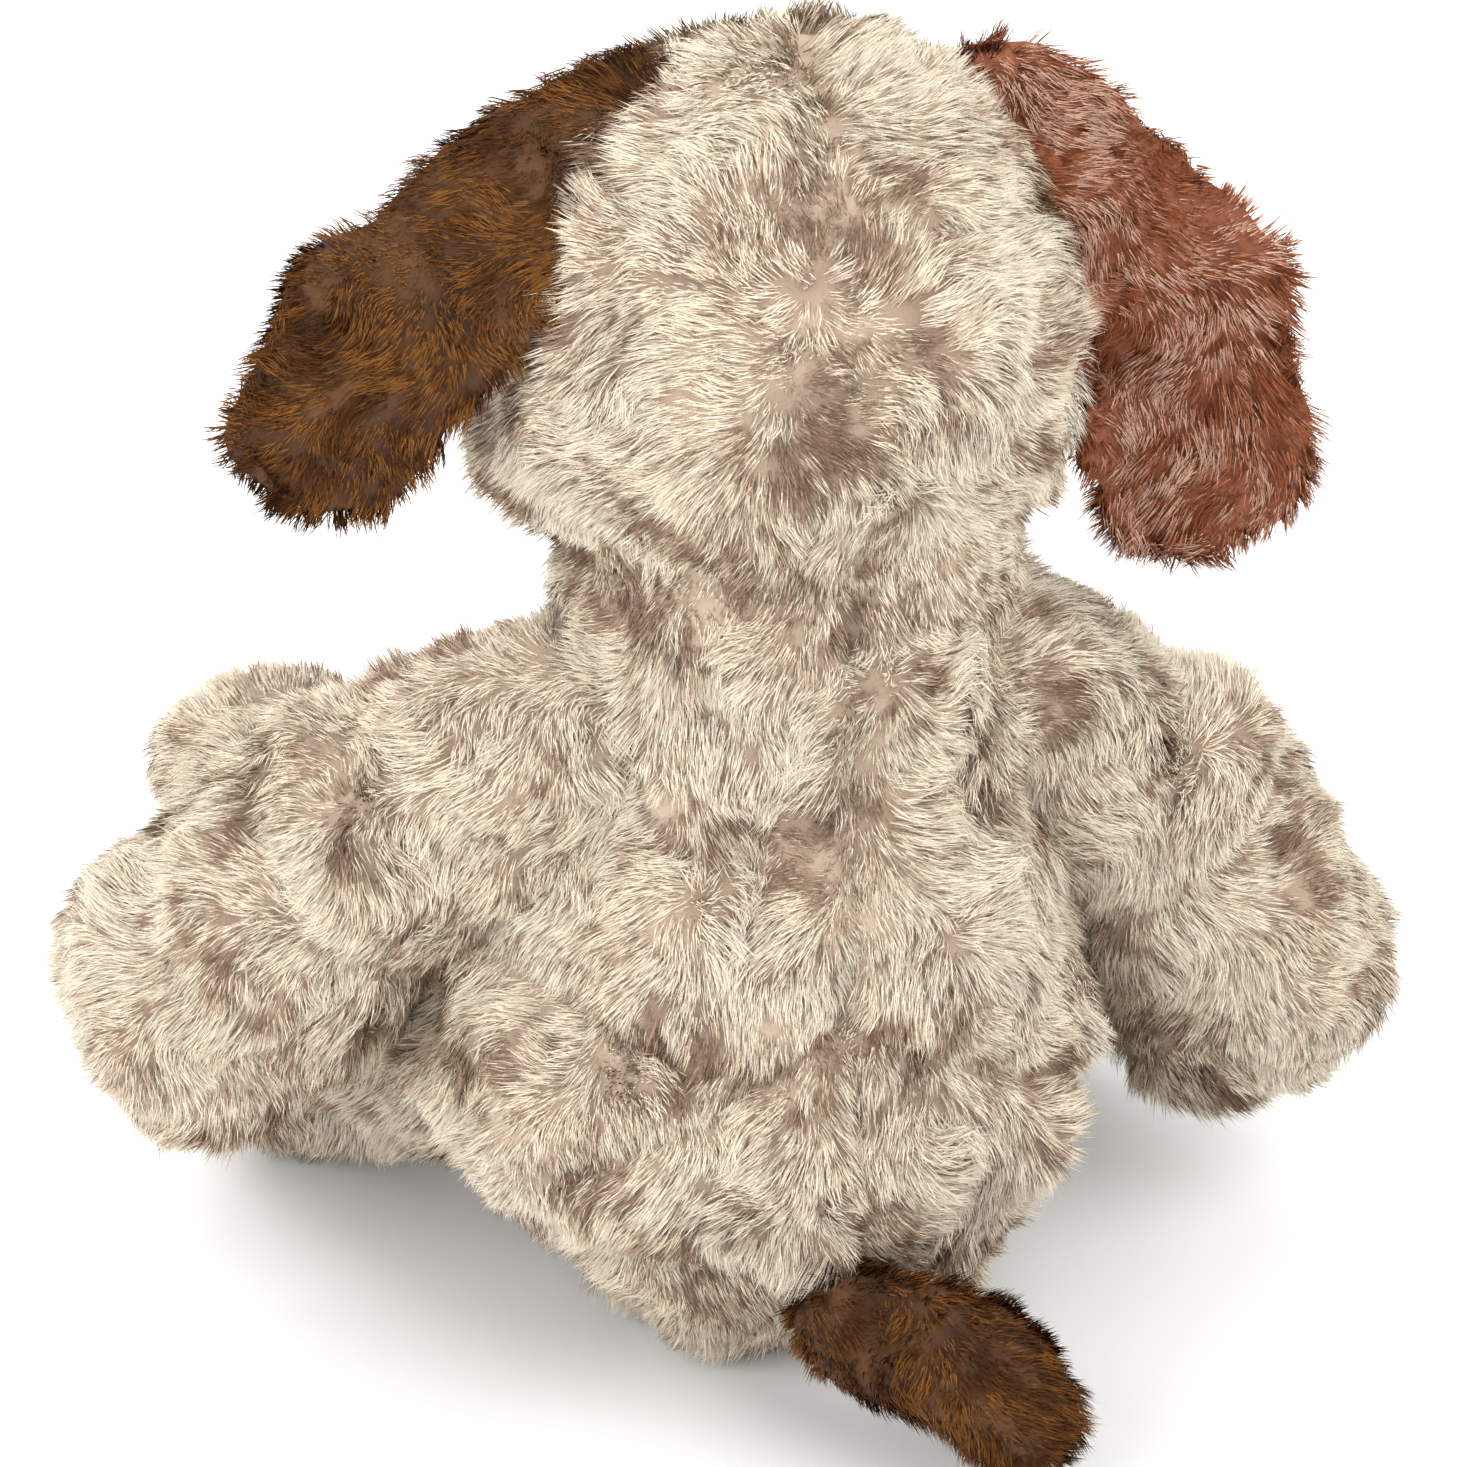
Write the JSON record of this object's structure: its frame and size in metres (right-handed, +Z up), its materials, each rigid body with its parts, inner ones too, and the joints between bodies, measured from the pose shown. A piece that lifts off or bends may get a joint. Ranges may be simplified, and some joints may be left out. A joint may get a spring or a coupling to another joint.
{
  "type": "seated plush dog",
  "caption": "Seated plush dog in long cream pile, with drooping odd-coloured ears, round arms, upright feet and a short brown tail.",
  "frame": {"origin": "centre of the flat seat, on the surface the dog sits on", "axes": "+Z up, -Y the way the dog faces, +X towards the dog's left"},
  "size_m": [0.3186, 0.2624, 0.342],
  "materials": {
    "cream_fur": "long tufted pile",
    "caramel_fur": "long tufted pile",
    "russet_fur": "long tufted pile",
    "stuffing": "loose polyester fibre",
    "bean_bag": "plain woven pouch of pellets",
    "eye_plastic": "polished",
    "washer_plastic": "natural"
  },
  "bodies": {
    "torso": {"torso_back_left": "cream_fur", "torso_back_right": "cream_fur", "rump_left": "cream_fur", "rump_right": "cream_fur", "belly_panel": "cream_fur", "torso_stuffing": "stuffing", "bean_bag": "bean_bag"},
    "neck": {"neck_left": "cream_fur", "neck_right": "cream_fur", "neck_stuffing": "stuffing"},
    "head": {"head_back_left": "cream_fur", "head_back_right": "cream_fur", "crown_panel": "cream_fur", "face_left": "cream_fur", "face_right": "cream_fur", "muzzle_top": "cream_fur", "chin_panel": "cream_fur", "head_stuffing": "stuffing", "eye_left": "eye_plastic", "eye_right": "eye_plastic", "eye_washer_left": "washer_plastic", "eye_washer_right": "washer_plastic", "nose": "eye_plastic", "nose_washer": "washer_plastic"},
    "ear_left": {"ear_left_outer": "caramel_fur", "ear_left_lining": "caramel_fur"},
    "ear_right": {"ear_right_outer": "russet_fur", "ear_right_lining": "russet_fur"},
    "arm_left": {"arm_left_outer": "cream_fur", "arm_left_inner": "cream_fur", "arm_left_stuffing": "stuffing"},
    "arm_right": {"arm_right_outer": "cream_fur", "arm_right_inner": "cream_fur", "arm_right_stuffing": "stuffing"},
    "leg_left": {"leg_left_outer": "cream_fur", "leg_left_inner": "cream_fur", "foot_left_sole": "cream_fur", "leg_left_stuffing": "stuffing"},
    "leg_right": {"leg_right_outer": "cream_fur", "leg_right_inner": "cream_fur", "foot_right_sole": "cream_fur", "leg_right_stuffing": "stuffing"},
    "tail": {"tail_upper": "caramel_fur", "tail_lower": "caramel_fur", "tail_stuffing": "stuffing"}
  },
  "joints": [
    {"name": "neck_turn", "type": "hinge", "parent": "torso", "child": "neck", "pos_m": [0, 0.024, 0.204], "axis": [0, 0, 1], "range_deg": [-30, 30]},
    {"name": "head_nod", "type": "hinge", "parent": "neck", "child": "head", "pos_m": [0, 0.024, 0.276], "axis": [1, 0, 0], "range_deg": [-18, 0]},
    {"name": "ear_left_flap", "type": "hinge", "parent": "head", "child": "ear_left", "pos_m": [0.05036, 0.018, 0.32815], "axis": [0, -1, 0], "range_deg": [0, 45]},
    {"name": "ear_right_flap", "type": "hinge", "parent": "head", "child": "ear_right", "pos_m": [-0.06279, 0.018, 0.31225], "axis": [0, 1, 0], "range_deg": [0, 45]},
    {"name": "shoulder_left", "type": "hinge", "parent": "torso", "child": "arm_left", "pos_m": [0.055, 0.021, 0.172], "axis": [0, -1, 0], "range_deg": [0, 35]},
    {"name": "shoulder_right", "type": "hinge", "parent": "torso", "child": "arm_right", "pos_m": [-0.055, 0.021, 0.172], "axis": [0, 1, 0], "range_deg": [0, 35]},
    {"name": "hip_left", "type": "hinge", "parent": "torso", "child": "leg_left", "pos_m": [0.046, -0.058, 0.042], "axis": [1, 0, 0], "range_deg": [0, 20]},
    {"name": "hip_right", "type": "hinge", "parent": "torso", "child": "leg_right", "pos_m": [-0.046, -0.058, 0.042], "axis": [1, 0, 0], "range_deg": [0, 20]},
    {"name": "tail_wag", "type": "hinge", "parent": "torso", "child": "tail", "pos_m": [0, 0.081, 0.034], "axis": [0, 0, -1], "range_deg": [0, 60]}
  ]
}
